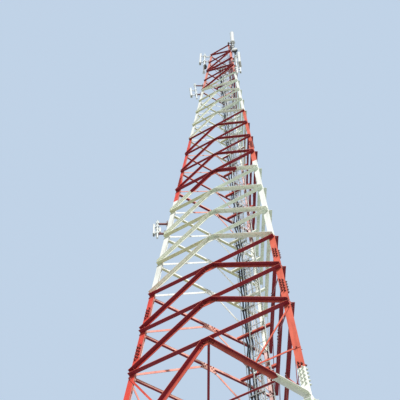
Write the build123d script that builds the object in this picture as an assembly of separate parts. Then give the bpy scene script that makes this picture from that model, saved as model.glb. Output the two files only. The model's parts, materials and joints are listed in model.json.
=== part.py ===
from build123d import *
import math
import os

os.makedirs("parts", exist_ok=True)

# Outline of the tower: an equilateral triangle in plan, with a straight taper.
# Double panels stand below single ones, and the topmost single panels have zigzag bracing.
base_side = 4970
top_side = 1055
panel = 1400
double_panels = 5
single_panels = 17
zigzag_panels = 5

# Steel sections: unequal angles, flat against the legs with the other flange outwards
leg_width = 140
leg_thick = 14
chord_flat = 56
chord_deep = 90
brace_flat = 68
brace_deep = 95
double_share = 1.4
side_flat = 52
side_deep = 16
minor_flat = 40
plan_flat = 50
bar_thick = 8
gusset_long = 300
gusset_deep = 190
cope = 90
end_inset = 12
brace_lift = 30
joint_gap = 0.5

# The legs and faces come in three lengths: the lowest and the topmost, in panels, and the rest.
# The topmost length has lighter sections, as a share of the others.
lower_panels = 4
upper_panels = 11
upper_share = 0.72
splice_rise = 700
splice_long = 620
splice_width = 118
splice_thick = 10

# Feet
plate_side = 560
plate_thick = 36
anchor_spacing = 420
anchor_hole = 36
plate_inset = 80
foot_rise = 420

# Rear corner: bars across it, ladders, cables and rest platforms
corner_reach = 850
corner_bar = 65
ladder_wide = 420
ladder_foot = 350
ladder_drop = 500
ladder_x = 120
stile_wide = 50
stile_thick = 10
rung_size = 20
rung_pitch = 350
tray_wide = 400
tray_x = -110
tray_stile = 30
tray_rung = 20
tray_pitch = 1000
cable_foot = 2400
cable_drop = 1400
black_cable = 44
grey_cable = 28
black_cables = 3
grey_cables = 3
cable_gap = 26
seat_gap = 0.3
platform_thick = 30
platform_gap = 12
platform_counts = (13, 7, 4)

# Antennas and their pipes. Heights are drops below the tower's top, negative above it.
# Round pieces have flat sides, fewer on the slim ones.
slim_sides = 16
wide_sides = 32
clamp_wide = 180
clamp_tall = 120
clamp_thick = 12
arm_size = 50
bracket_size = 50
bracket_inset = 0.18

# Each pipe: leg, reach out from the leg's heel, diameter, outward lean in degrees,
# drops of its foot and head, and drops of its two arms
pipes = {
    "left_top": ("left", 221, 76, 0, 2960, -270, (1050, 200)),
    "right_top": ("right", 110, 76, 0, 6000, 2500, (5100, 3550)),
    "peak": ("right", 190, 76, 0, 1300, 440, (1100, 700)),
    "left_upper": ("left", 187, 60, 4, 6600, 4600, (6050, 4850)),
    "left_middle": ("left", 215, 48, 3.5, 18240, 17270, (18000, 17450)),
}

# Each panel antenna: pipe, turn about the pipe, standoff, width, depth, drops of foot and head
panels = {
    "panel_left_top": ("left_top", 0, 110, 150, 100, 1420, -180),
    "panel_right_wide": ("right_top", 50, 45, 280, 120, 4750, 3210),
    "panel_right_narrow": ("right_top", 60, 75, 100, 60, 5850, 5230),
    "panel_left_upper": ("left_upper", 0, 130, 130, 95, 6300, 5330),
    "panel_left_middle": ("left_middle", 0, 45, 120, 55, 18060, 17540),
}
panel_chamfer = 18
peak_dia = 205
peak_long = 1940
peak_chamfer = 35
peak_collar = 60

# Each drum dish: pipe, turn about the pipe, turn on its bracket, standoff, slide along its own
# axis, diameter, depth and drop of its middle
dishes = {
    "dish_left_top": ("left_top", 90, -90, 90, -52, 265, 170, 2830),
    "dish_right_top": ("right_top", -42, 0, 30, 0, 250, 200, 3050),
}
dish_back = 0.3
dish_hub = 90
radio_size = (70, 110, 150)
radio_turn = -118
radio_standoff = 125
radio_fall = 110
tube_dia = 60
tube_turn = 180
tube_standoff = 14
tube_rise = 60
tube_long = 260

root3 = math.sqrt(3)
double_height = 2 * panel
split_height = double_panels * double_height
height = split_height + single_panels * panel
ladder_head = height - ladder_drop
taper = (base_side - top_side) / height
leg_lean = taper / root3
tray_gap = seat_gap + bar_thick * leg_lean
axis_y = plate_inset - base_side / root3
face_lean = math.atan(taper / (2 * root3))
levels = [double_height * k for k in range(double_panels)]
levels += [split_height + panel * k for k in range(single_panels + 1)]
top_level = len(levels) - 1
first_single = double_panels
first_zigzag = top_level - zigzag_panels

breaks = (lower_panels, top_level - upper_panels)
corner_angles = {"rear": 90, "left": 210, "right": 330}
face_angles = {"front": 270, "right": 30, "left": 150}
lengths = {
    "lower": (0, lower_panels),
    "middle": breaks,
    "upper": (breaks[1], top_level),
}


def side(z):
    return base_side - taper * z


def polar(radius, angle, z=0):
    a = math.radians(angle)
    return Vector(radius * math.cos(a), axis_y + radius * math.sin(a), z)


def share(level):
    """Share of the full sections that the steel above a level has."""
    return upper_share if level >= breaks[1] else 1


def heel(corner, z):
    return polar(side(z) / root3, corner_angles[corner], z)


def save(shape, name):
    export_step(shape, f"parts/{name}.step")


def flat_ring(points, z=0):
    return make_face(Polyline([(p[0], p[1], z) for p in points], close=True))


def angle_outline(corner, z, width, thick, offset=0):
    """Plan outline of a 60 degree angle whose heel points out of the tower."""
    turn = corner_angles[corner]
    tip = heel(corner, z) - Vector(1, 0, 0).rotate(Axis.Z, turn) * (2 * offset)
    points = []
    for hand in (1, -1):
        along = Vector(-1, 0, 0).rotate(Axis.Z, turn + 30 * hand)
        inward = Vector(-1, 0, 0).rotate(Axis.Z, turn - 60 * hand)
        far = [tip + along * width, tip + along * width + inward * thick]
        points.append(far)
    inner = tip + Vector(-1, 0, 0).rotate(Axis.Z, turn) * (2 * thick)
    ring = [tip, points[0][0], points[0][1], inner, points[1][1], points[1][0]]
    return flat_ring([(p.X, p.Y) for p in ring], z)


def angle_length(corner, low, high, width, thick, offset=0):
    """A length of 60 degree angle that follows the slope of the leg."""
    run = heel(corner, high) - heel(corner, low)
    return extrude(angle_outline(corner, low, width, thick, offset), run.length, run.normalized())


def leg(corner, low, high, first):
    return angle_length(corner, low, high, leg_width * share(first), leg_thick)


def splice(corner, level):
    low = levels[level] + splice_rise - splice_long / 2
    width = splice_width * share(level)
    return angle_length(corner, low, low + splice_long, width, splice_thick, leg_thick)


def base_plate(corner):
    centre = polar(base_side / root3 - plate_inset, corner_angles[corner])
    plate = Pos(centre.X, centre.Y, plate_thick / 2) * Box(plate_side, plate_side, plate_thick)
    for spot in GridLocations(anchor_spacing, anchor_spacing, 2, 2):
        plate -= Pos(centre.X, centre.Y, plate_thick / 2) * spot * Cylinder(anchor_hole / 2, plate_thick)
    return plate


def strip(start, end, width, shift=0, cut=0):
    """Flat outline of a bar between two points, moved to the run's left and cut short at its end."""
    run = Vector(*end) - Vector(*start)
    turn = math.degrees(math.atan2(run.Y, run.X))
    origin = Pos(start[0], start[1]) * Rot(0, 0, turn)
    return origin * Pos((run.length - cut) / 2, shift) * Rectangle(run.length - cut, width)


def face_node(level, hand):
    """Where a bar ends on a leg: hand -1 and 1 are the face's two legs, 0 is mid-face."""
    z = levels[level]
    return (hand * (side(z) / 2 - end_inset), z / math.cos(face_lean))


def raised(point, rise):
    return (point[0] - math.copysign(rise * taper / 2, point[0]), point[1] + rise)


def halfway(a, b):
    return ((a[0] + b[0]) / 2, (a[1] + b[1]) / 2)


def diagonal_foot(level, hand):
    rise = foot_rise if level == 0 else brace_lift
    return raised(face_node(level, hand), rise)


def diagonals(level):
    """Main diagonals of the panel above a level, from a leg to mid-face or to the other leg."""
    if level >= first_zigzag:
        hand = 1 if (level - first_zigzag) % 2 == 0 else -1
        return [(diagonal_foot(level, hand), raised(face_node(level + 1, -hand), -brace_lift))]
    return [(diagonal_foot(level, hand), face_node(level + 1, 0)) for hand in (-1, 1)]


def minor_bars(level):
    """Light bars from the leg to the middles of the diagonals in a double panel."""
    bars = []
    for hand in (-1, 1):
        knee = halfway(diagonal_foot(level, hand), face_node(level + 1, 0))
        leg_top = face_node(level + 1, hand)
        bars.append((halfway(face_node(level, hand), leg_top), knee))
        bars.append((raised(leg_top, -chord_deep), knee))
    return bars


def face_sketches(first, last, outside):
    """Flat flanges with their gussets, and the edges of the flanges that stand out.

    Diagonals stand out along their upper edge. So do the level bars on the sides, and those on
    the front stand out along their lower edge. Diagonals of double panels are heavier.
    """
    flats = []
    brace_edges = []
    chord_edges = []
    brace = (brace_flat if outside else side_flat) * share(first)
    chord = chord_flat * share(first)
    for level in range(first, last):
        wide = brace * (double_share if level < first_single else 1)
        for start, end in diagonals(level):
            flats.append(strip(start, end, wide))
            hand = 1 if end[0] > start[0] else -1
            cut = cope if level < first_zigzag else 0
            brace_edges.append(strip(start, end, bar_thick, hand * (wide - bar_thick) / 2, cut))
        if level < first_single:
            flats += [strip(start, end, minor_flat) for start, end in minor_bars(level)]
        ends = (face_node(level + 1, -1), face_node(level + 1, 1))
        flats.append(strip(*ends, chord))
        edge = (chord - bar_thick) / 2
        chord_edges.append(strip(*ends, bar_thick, -edge if outside else edge))
        if level < first_zigzag:
            top = face_node(level + 1, 0)
            deep = gusset_deep * share(first)
            drop = Pos(top[0], top[1] + (chord - deep) / 2)
            flats.append(drop * Rectangle(gusset_long * share(first), deep))
    return Sketch() + flats, Sketch() + brace_edges, Sketch() + chord_edges


def face_window(first, last):
    """Ends a length of face short of the leg heels and of the level bar below it."""
    low = face_node(first, 0)[1] + (chord_flat / 2 + joint_gap if first else 0)
    high = face_node(last, 0)[1] + chord_flat / 2
    corners = []
    for y, hand in ((low, -1), (low, 1), (high, 1), (high, -1)):
        corners.append((hand * (side(y * math.cos(face_lean)) / 2 - end_inset), y))
    return flat_ring(corners)


def face_plane(angle):
    out = Vector(1, 0, 0).rotate(Axis.Z, angle)
    across = Vector(0, 1, 0).rotate(Axis.Z, angle)
    normal = out * math.cos(face_lean) + Vector(0, 0, math.sin(face_lean))
    return Plane(origin=polar(base_side / (2 * root3), angle), x_dir=across, z_dir=normal)


def lattice(face, first, last):
    front = face == "front"
    sketches = face_sketches(first, last, front)
    window = face_window(first, last)
    plane = face_plane(face_angles[face])
    deep = brace_deep if front else side_deep
    depths = (bar_thick, deep * share(first), chord_deep * share(first))
    flanges = [extrude(plane * (sketch & window), deep) for sketch, deep in zip(sketches, depths)]
    return flanges[0] + flanges[1] + flanges[2]


def plan_frame(level):
    """Triangle of flat bars between the mid-points of the level bars."""
    z = levels[level]
    reach = side(z) / (2 * root3) - seat_gap - bar_thick * math.tan(face_lean)
    outer = [polar(reach, a) for a in face_angles.values()]
    inner = [polar(reach - 2 * plan_flat, a) for a in face_angles.values()]
    ring = flat_ring([(p.X, p.Y) for p in outer]) - flat_ring([(p.X, p.Y) for p in inner])
    return Pos(0, 0, z) * extrude(ring, bar_thick)


def corner_y(z):
    """Middle of the corner bar, measured along the tower's depth."""
    return heel("rear", z).Y - corner_reach * root3 / 2


def corner_outline(z, near, far):
    """Slice of the rear corner between two depths, up to both face planes."""
    tip = heel("rear", z).Y - 2 * seat_gap
    points = [(-(tip - near) / root3, near), ((tip - near) / root3, near)]
    points += [((tip - far) / root3, far), (-(tip - far) / root3, far)]
    return flat_ring(points)


def corner_bearer(level):
    z = levels[level]
    y = corner_y(z)
    near = y - corner_bar / 2
    flat = corner_outline(z + bar_thick, near, near + corner_bar)
    deep = corner_outline(z + corner_bar, near, near + bar_thick)
    return Pos(0, 0, z) * (extrude(flat, bar_thick) + extrude(deep, corner_bar))


def rail(x, y_offset, wide, deep, low, high):
    """A bar with an upright rectangular plan that follows the rear leg's slope."""
    start = Vector(x, corner_y(low) + y_offset, low)
    end = Vector(x, corner_y(high) + y_offset, high)
    run = end - start
    return extrude(Pos(start.X, start.Y, start.Z) * Rectangle(wide, deep), run.length, run.normalized())


def ladder():
    y = -(corner_bar + stile_wide) / 2 - seat_gap
    shift = (ladder_wide - stile_thick) / 2
    parts = [rail(ladder_x + hand * shift, y, stile_thick, stile_wide, ladder_foot, ladder_head)
             for hand in (-1, 1)]
    rung = Box(ladder_wide - 2 * stile_thick, rung_size, rung_size)
    for k in range(int((ladder_head - ladder_foot) / rung_pitch)):
        z = ladder_foot + rung_pitch * (k + 0.5)
        parts.append(Pos(ladder_x, corner_y(z) + y, z) * rung)
    return parts[0] + parts[1:]


def cable_ladder():
    y = (corner_bar + tray_stile) / 2 + tray_gap
    shift = (tray_wide - bar_thick) / 2
    parts = [rail(tray_x + hand * shift, y, bar_thick, tray_stile, cable_foot, ladder_head)
             for hand in (-1, 1)]
    rung = Box(tray_wide - 2 * bar_thick, tray_rung, tray_rung)
    for k in range(int((ladder_head - cable_foot) / tray_pitch)):
        z = cable_foot + tray_pitch * (k + 0.5)
        parts.append(Pos(tray_x, corner_y(z) + y + (tray_stile - tray_rung) / 2, z) * rung)
    return parts[0] + parts[1:]


def cables(count, size, first_x):
    """Feeder cables side by side against the cable ladder's rear edge."""
    rung_lean = tray_rung / 2 * leg_lean
    y = corner_bar / 2 + tray_gap + tray_stile + rung_lean + seat_gap + size / 2
    solids = []
    for k in range(count):
        x = first_x + (size + cable_gap) * k
        start = Vector(x, corner_y(cable_foot) + y, cable_foot)
        end = Vector(x, corner_y(height - cable_drop) + y, height - cable_drop)
        run = end - start
        outline = Pos(start.X, start.Y, start.Z) * RegularPolygon(size / 2, 6, major_radius=False)
        solids.append(extrude(outline, run.length, run.normalized()))
    return solids


def platform(level):
    """Triangular plate on the corner bar, notched round the cable ladder and the leg."""
    z = levels[level] + corner_bar + seat_gap
    near = corner_y(levels[level]) - corner_bar / 2
    leg_clear = heel("rear", z + platform_thick).Y - leg_width * root3 / 2 - platform_gap
    sheet = corner_outline(z + platform_thick, near, leg_clear)
    notch_wide = tray_wide + 2 * platform_gap
    notch_deep = corner_bar + tray_stile + black_cable + 2 * platform_gap
    sheet -= Pos(tray_x, near + notch_deep / 2) * Rectangle(notch_wide, notch_deep)
    return Pos(0, 0, z) * extrude(sheet, platform_thick)


def outward(corner):
    """Frame at the tower's axis whose X points out over a leg."""
    return Pos(0, axis_y) * Rot(0, 0, corner_angles[corner])


def pipe_radius(name):
    """Distance of a pipe's axis from the tower's, at its lower arm."""
    corner, reach = pipes[name][:2]
    return side(height - pipes[name][6][0]) / root3 + reach


def pipe_axis(name, turn=0):
    """Frame on a pipe's axis whose X points the way an antenna's bracket goes."""
    corner, reach, dia, lean, foot, head, arms = pipes[name]
    pivot = height - arms[0]
    frame = outward(corner) * Pos(pipe_radius(name), 0, pivot) * Rot(0, lean, 0)
    return frame * Pos(0, 0, -pivot) * Rot(0, 0, turn)


def round_bar(dia, length, sides):
    return extrude(RegularPolygon(dia / 2, sides), length / 2, both=True)


def pipe_with_arms(name):
    corner, reach, dia, lean, foot, head, arms = pipes[name]
    pipe = round_bar(dia, foot - head, slim_sides)
    body = pipe_axis(name) * Pos(0, 0, height - (foot + head) / 2) * pipe
    for arm in arms:
        z = height - arm
        start = side(z - clamp_tall / 2) / root3 + seat_gap
        end = pipe_radius(name) + (arms[0] - arm) * math.tan(math.radians(lean))
        clamp = Pos(start + clamp_thick / 2, 0, z) * Box(clamp_thick, clamp_wide, clamp_tall)
        body += outward(corner) * clamp
        body += outward(corner) * Pos((start + end) / 2, 0, z) * Box(end - start, arm_size, arm_size)
    return body


def stub(pipe, z, reach):
    """Bracket from the pipe's surface out to an antenna's back."""
    start = pipes[pipe][2] / 2 + seat_gap
    return Pos((start + reach) / 2, 0, z) * Box(reach - start, bracket_size, bracket_size)


def panel_antenna(pipe, turn, standoff, wide, deep, foot, head):
    back = pipes[pipe][2] / 2 + standoff
    body = Pos(back + deep / 2, 0, height - (foot + head) / 2) * Box(deep, wide, foot - head)
    body = chamfer(body.edges().filter_by(Axis.Z).group_by(Axis.X)[-1], panel_chamfer)
    pipe_foot, pipe_head = pipes[pipe][4:6]
    inset = bracket_inset * (foot - head)
    low = min(foot - inset, pipe_foot - bracket_size)
    high = max(head + inset, pipe_head + bracket_size)
    brackets = [stub(pipe, height - drop, back) for drop in (low, high)]
    return pipe_axis(pipe, turn) * (body + brackets)


def peak_antenna():
    """Round cover that carries on upwards from its pipe, above a wider collar."""
    foot = height - pipes["peak"][5] + seat_gap
    cover = Pos(0, 0, foot + peak_long / 2) * round_bar(peak_dia, peak_long, slim_sides)
    cover = chamfer(cover.edges().group_by(Axis.Z)[-1], peak_chamfer)
    collar = Pos(0, 0, foot + peak_collar / 2) * round_bar(peak_dia + 2 * bar_thick, peak_collar, slim_sides)
    return pipe_axis("peak") * (cover + collar)


def dish_antenna(pipe, turn, facing, standoff, slide, dia, deep, drop):
    """Shrouded dish with a tapered back, ahead of its bracket or beside it."""
    half = deep / 2 if facing == 0 else dia / 2
    back = pipes[pipe][2] / 2 + standoff
    drum = Pos(0, 0, slide) * round_bar(dia, deep, wide_sides)
    disc = drum.faces().sort_by(Axis.Z)[0]
    shell = chamfer(disc.edges(), (dia - dish_hub) / 2, dish_back * deep, reference=disc)
    body = Pos(back + half, 0, height - drop) * Rot(0, 0, facing) * Rot(0, 90, 0) * shell
    reach = back if facing == 0 else back + bracket_size / 2
    return pipe_axis(pipe, turn) * (body + stub(pipe, height - drop, reach))


def radio_unit():
    back = pipes["peak"][2] / 2 + radio_standoff
    z = height - pipes["peak"][5] - radio_fall
    box = Pos(back + radio_size[0] / 2, 0, z) * Box(*radio_size)
    return pipe_axis("peak", radio_turn) * (box + stub("peak", z, back))


def tube_antenna():
    back = pipes["left_middle"][2] / 2 + tube_standoff
    middle = height - pipes["left_middle"][6][0] + tube_rise + tube_long / 2
    tube = Pos(back + tube_dia / 2, 0, middle) * round_bar(tube_dia, tube_long, slim_sides)
    tube += stub("left_middle", middle, back + tube_dia / 4)
    return pipe_axis("left_middle", tube_turn) * tube


for corner in corner_angles:
    save(base_plate(corner), f"base_plate_{corner}")
    ends = [plate_thick, *[levels[k] + splice_rise for k in breaks], height]
    for name, low, high in zip(lengths, ends[:-1], ends[1:]):
        save(leg(corner, low, high, lengths[name][0]), f"leg_{corner}_{name}")

save(Compound([splice(corner, level) for corner in corner_angles for level in breaks]), "leg_splices")

for face in face_angles:
    for name, (first, last) in lengths.items():
        save(lattice(face, first, last), f"lattice_{face}_{name}")

save(Compound([plan_frame(level) for level in range(1, first_single + 1)]), "plan_bracing")
save(Compound([corner_bearer(level) for level in range(1, top_level)]), "corner_bars")
save(ladder(), "climbing_ladder")
save(cable_ladder(), "cable_ladder")
black_wide = black_cables * (black_cable + cable_gap)
grey_wide = grey_cables * (grey_cable + cable_gap)
black_x = tray_x - (black_wide + grey_wide - black_cable - cable_gap) / 2
grey_x = black_x + black_wide - (black_cable - grey_cable) / 2
save(Compound(cables(black_cables, black_cable, black_x)), "feeder_cables_black")
save(Compound(cables(grey_cables, grey_cable, grey_x)), "feeder_cables_grey")
save(Compound([platform(top_level - count) for count in platform_counts]), "rest_platforms")
for name in pipes:
    save(pipe_with_arms(name), f"antenna_pipe_{name}")
for name, values in panels.items():
    save(panel_antenna(*values), name)
save(peak_antenna(), "panel_peak")
for name, values in dishes.items():
    save(dish_antenna(*values), name)
save(radio_unit(), "radio_unit")
save(tube_antenna(), "tube_antenna")
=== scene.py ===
import json
import math
import random
from collections import namedtuple

import bmesh
import bpy
from mathutils import Matrix, Vector


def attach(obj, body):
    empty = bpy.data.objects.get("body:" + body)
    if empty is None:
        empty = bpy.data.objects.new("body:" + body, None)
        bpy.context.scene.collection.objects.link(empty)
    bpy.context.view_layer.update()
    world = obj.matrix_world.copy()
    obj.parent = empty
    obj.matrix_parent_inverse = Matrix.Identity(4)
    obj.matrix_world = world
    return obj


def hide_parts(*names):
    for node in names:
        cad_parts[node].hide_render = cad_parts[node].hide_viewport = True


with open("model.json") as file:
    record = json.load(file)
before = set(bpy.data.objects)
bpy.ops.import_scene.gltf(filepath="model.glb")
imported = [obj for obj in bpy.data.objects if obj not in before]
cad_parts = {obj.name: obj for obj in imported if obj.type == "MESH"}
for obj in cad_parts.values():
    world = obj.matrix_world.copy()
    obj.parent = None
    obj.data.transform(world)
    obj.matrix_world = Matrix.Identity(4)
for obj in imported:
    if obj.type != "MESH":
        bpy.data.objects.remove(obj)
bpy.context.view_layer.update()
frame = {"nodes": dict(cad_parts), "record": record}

ROOT3 = math.sqrt(3)

# The photograph's viewpoint: near the right front foot, looking steeply up; turns in degrees
CAMERA_PLACE = (4.353, -11.162, 2.578)
CAMERA_HEADING = 32.37
CAMERA_PITCH = 63.93
CAMERA_ROLL = 2.6
LENS_MM = 66.38
SENSOR_MM = 36
VIEW_END = 500

# Suns: energy, tilt off the vertical and heading in degrees
SUNS = {"key": (3.9, 50, 40), "fill": (0.8, 50, 210)}
SUN_SPREAD = math.radians(3)
SKY_LIGHT = (0.87, 0.94, 1.0, 1)
SKY_STRENGTH = 0.36
BACKDROP = (0.53, 0.65, 0.80, 1)
FLOOR_LIT = (0.44, 0.46, 0.41, 1)
FLOOR_SEEN = (0.62, 0.64, 0.66, 1)
FLOOR_RADIUS = 60

# Outline of the tower, in metres: a triangle in plan with a straight taper
BASE_SIDE = 4.97
TOP_SIDE = 1.055
PANEL = 1.4
DOUBLE_PANELS = 5
SINGLE_PANELS = 17
ZIGZAG_PANELS = 5
SLIM_FROM = 11
SLIM_SHARE = 0.72
HEIGHT = (2 * DOUBLE_PANELS + SINGLE_PANELS) * PANEL
TAPER = (BASE_SIDE - TOP_SIDE) / HEIGHT
PLATE_INSET = 0.08
AXIS_Y = PLATE_INSET - BASE_SIDE / ROOT3
FACE_LEAN = math.degrees(math.atan(TAPER / (2 * ROOT3)))
LEVELS = [2 * PANEL * k for k in range(DOUBLE_PANELS)]
LEVELS += [PANEL * (2 * DOUBLE_PANELS + k) for k in range(SINGLE_PANELS + 1)]
TOP_LEVEL = len(LEVELS) - 1
FIRST_ZIGZAG = TOP_LEVEL - ZIGZAG_PANELS
LEGS = {"rear": 90, "left": 210, "right": 330}
FACES = {"front": 270, "right": 30, "left": 150}
FACE_ENDS = [(face, hand) for face in FACES for hand in (-1, 1)]

# Sections
LEG_WIDTH = 0.140
LEG_THICK = 0.014
BAR_THICK = 0.008
CHORD_DEEP = 0.090
SPLICE_THICK = 0.010
END_INSET = 0.012
BRACE_LIFT = 0.030
FOOT_RISE = 0.420
CORNER_REACH = 0.850
CORNER_BAR = 0.065

# Ladders in the rear corner, measured across the tower and from its middle line of corner bars
LADDER_X = 0.120
LADDER_WIDE = 0.420
LADDER_Y = -0.0578
LADDER_FOOT = 0.350
LADDER_HEAD = HEIGHT - 0.5
STILE_WIDE = 0.050
STILE_THICK = 0.010
STILE_LENGTH = 5.6
FISH_PLATE = 0.220
FISH_BOLTS = (-0.08, -0.03, 0.03, 0.08)
RUNG_ACROSS = 0.020
RUNG_PITCH = 0.350
TRAY_X = -0.110
TRAY_WIDE = 0.400
TRAY_Y = 0.0483
TRAY_STILE = 0.030
TRAY_RUNG = 0.020
TRAY_PITCH = 1.0

# Cables: ends, places across and sizes, hangers, and how far they bulge between those
CABLE_FOOT = 2.4
CABLE_HEAD = HEIGHT - 1.4
CABLE_Y = 0.0642
BLACK_CABLE = 0.044
GREY_CABLE = 0.028
BLACK_X = (-0.261, -0.191, -0.121)
GREY_X = (-0.059, -0.005, 0.049)
HANGER_GRIP = 0.06
BUNDLE_SWAY = 0.070
OWN_SWAY = 0.012
BACK_SWAY = 0.060

# Rest platforms: levels and sizes of the frame and the grating
PLATFORM_LEVELS = (9, 15, 18)
PLATFORM_THICK = 0.030
PLATFORM_GAP = 0.012
EDGE_THICK = 0.008
STRIP_THICK = 0.004
STRIP_PITCH = 0.040
CROSS_ACROSS = 0.007
CROSS_PITCH = 0.1
SHORTEST_STRIP = 0.03

# Antenna pipes: leg, reach beyond its heel, diameter, outward lean in degrees, drops of foot and
# head below the top level, and drops of the two arms
Pipe = namedtuple("Pipe", "leg reach across lean foot head arms")
PIPES = {
    "left_top": Pipe("left", 0.221, 0.076, 0, 2.960, -0.270, (1.050, 0.200)),
    "right_top": Pipe("right", 0.110, 0.076, 0, 6.000, 2.500, (5.100, 3.550)),
    "peak": Pipe("right", 0.190, 0.076, 0, 1.300, 0.440, (1.100, 0.700)),
    "left_upper": Pipe("left", 0.187, 0.060, 4, 6.600, 4.600, (6.050, 4.850)),
    "left_middle": Pipe("left", 0.215, 0.048, 3.5, 18.240, 17.270, (18.000, 17.450)),
}
# Panel antennas: pipe, turn about it, standoff, width, depth, drops of foot and head
Panel = namedtuple("Panel", "pipe turn standoff wide deep foot head")
PANELS = {
    "left_top": Panel("left_top", 0, 0.110, 0.150, 0.100, 1.420, -0.180),
    "right_wide": Panel("right_top", 50, 0.045, 0.280, 0.120, 4.750, 3.210),
    "right_narrow": Panel("right_top", 60, 0.075, 0.100, 0.060, 5.850, 5.230),
    "left_upper": Panel("left_upper", 0, 0.130, 0.130, 0.095, 6.300, 5.330),
    "left_middle": Panel("left_middle", 0, 0.045, 0.120, 0.055, 18.060, 17.540),
}
PANEL_CAP = 0.045
PLUG_LONG = 0.055
BRACKET_INSET = 0.18
# Drum dishes: pipe, turn about it, turn on the bracket, standoff, slide, diameter, depth, drop
Dish = namedtuple("Dish", "pipe turn facing standoff slide across deep drop")
DISHES = {
    "left_top": Dish("left_top", 90, -90, 0.090, -0.052, 0.265, 0.170, 2.830),
    "right_top": Dish("right_top", -42, 0, 0.030, 0, 0.250, 0.200, 3.050),
}
STUB = 0.050
ARM = 0.050
ARM_PLATE = (0.120, 0.180, 0.012)
CLAMP_DEEP = 0.012
REST_GAP = 0.0003  # left between pieces that rest on each other
PEAK_ACROSS = 0.205
PEAK_LONG = 1.940
RADIO_SIZE = (0.070, 0.110, 0.150)
RADIO_TURN = -118
RADIO_STANDOFF = 0.125
RADIO_FALL = 0.110
RADIO_FINS = 8
TUBE_PIPE = "left_middle"
TUBE_TURN = 180
TUBE_ACROSS = 0.060
TUBE_LONG = 0.260
TUBE_STANDOFF = 0.014
TUBE_RISE = 0.060

# Bolts: width across flats, and depths of washer, head, nut and thread end
BOLT_ACROSS = 0.034
WASHER_DEEP = 0.003
BOLT_HEAD = 0.015
BOLT_NUT = 0.022
BOLT_THREAD = 0.020
# Bolt sizes as shares of the leg bolts
BRACE_BOLT = 0.8
MINOR_BOLT = 0.6
CORNER_BOLT = 0.55
LADDER_BOLT = 0.5
# Places of bolts along bars from their ends, and across a face from a leg's heel or the middle
LEG_END = 0.045
LEG_END_PITCH = 0.075
GUSSET_BOLTS = (0.10, 0.165, 0.23)
ZIGZAG_BOLTS = (0.045, 0.10)
MINOR_END = 0.060
CHORD_END = 0.030
CHORD_END_PITCH = 0.07
CHORD_MIDDLE = (0.05, 0.115)
# Heights and rows of the bolted joints and packs on every leg, and places of their columns
LEG_JOINTS = ((11.9, 6), (14.68, 5), (16.06, 4), (23.1, 6))
JOINT_PITCH = 0.100
JOINT_COLUMN = 0.045
JOINT_COLUMN_PITCH = 0.055
# Anchors: reach from a plate's middle, and heights of washer, nuts and stud
ANCHOR_REACH = 0.21
ANCHOR_WASHER = 0.039
ANCHOR_NUTS = (0.056, 0.084)
ANCHOR_STUD = 0.075

# Heights where the paint changes colour, from the lowest red band up
BAND_EDGES = (6.4, 12.05, 16.86, 21.7, 26.6, 32.2)
BAND_WAVE = 0.05
# Deep, faded and chalky colours. The deep ones are partly unweathered paint and partly painted
# shade, on the sides turned from the sun and under flanges; the chalky ones are partly chalked
# paint and partly painted sun glare
REDS = ((0.24, 0.018, 0.030, 1), (0.80, 0.165, 0.10, 1), (0.92, 0.52, 0.42, 1))
WHITES = ((0.90, 0.93, 0.79, 1), (0.90, 0.90, 0.84, 1), (0.92, 0.92, 0.88, 1))
# Bolt colours darker than the paint, a painted shade on the bolts
BOLT_SHADED_REDS = ((0.12, 0.018, 0.020, 1), (0.40, 0.085, 0.060, 1), (0.40, 0.085, 0.060, 1))
BOLT_SHADED_WHITES = ((0.58, 0.61, 0.54, 1), (0.78, 0.79, 0.74, 1), (0.78, 0.79, 0.74, 1))
# Colours of single places
# Saturated red towards the left leg
RED_LEFT_LEG = (0.78, 0.062, 0.036, 1)
RED_TOPMOST = (0.86, 0.30, 0.22, 1)
# Near-white red on the rear leg's sunny side, a painted highlight
RED_SUNLIT_HIGHLIGHT = (0.95, 0.80, 0.74, 1)
# Greenish and olive whites for the undersides, a painted shade
WHITE_SHADE_GREEN = (0.76, 0.86, 0.74, 1)
WHITE_SHADE_OLIVE = (0.66, 0.66, 0.43, 1)
DIRT = (0.30, 0.25, 0.18, 1)
PRIMER = (0.36, 0.17, 0.10, 1)
WORN_EDGE = (0.42, 0.30, 0.24, 1)
BRIGHT_EDGE = (0.72, 0.73, 0.73, 1)

# Direction that the paint fades towards, which is the sun's: the front, the right and up. Surfaces
# turned away from it keep the deep colour, partly unweathered paint and partly painted shade
SUN_SIDE = (0.324, -0.694, 0.643)


# Places on the tower

def shift(x, y, z):
    return Matrix.Translation((x, y, z))


def turned(degrees, axis):
    return Matrix.Rotation(math.radians(degrees), 4, axis)


def side(z):
    return BASE_SIDE - TAPER * z


def slim(level):
    return SLIM_SHARE if level >= SLIM_FROM else 1


def leg_axis(leg):
    """Frame on the tower's axis whose X points at a leg."""
    return shift(0, AXIS_Y, 0) @ turned(LEGS[leg], "Z")


def heel(leg, z):
    return leg_axis(leg) @ Vector((side(z) / ROOT3, 0, z))


def on_face(face, x, z, lift=0):
    """Frame on a face: X across it, Y up along it, Z out of the tower."""
    place = shift(0, AXIS_Y, z) @ turned(FACES[face] + 90, "Z")
    place @= shift(x, -side(z) / (2 * ROOT3), 0)
    return place @ turned(90 - FACE_LEAN, "X") @ shift(0, 0, lift)


def face_node(level, hand, rise=0):
    """Across-face place and height where a bar ends on a leg, or mid-face for hand 0."""
    z = LEVELS[level] + rise
    return Vector((hand * (side(z) / 2 - END_INSET), z))


def corner_y(z):
    """Middle of a corner bar, measured along the tower's depth."""
    return heel("rear", z).y - CORNER_REACH * ROOT3 / 2


def corner_place(x, y, z):
    """Point in the rear corner, level with a corner bar and off its middle by y."""
    return Vector((x, corner_y(z) + y, z))


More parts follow.
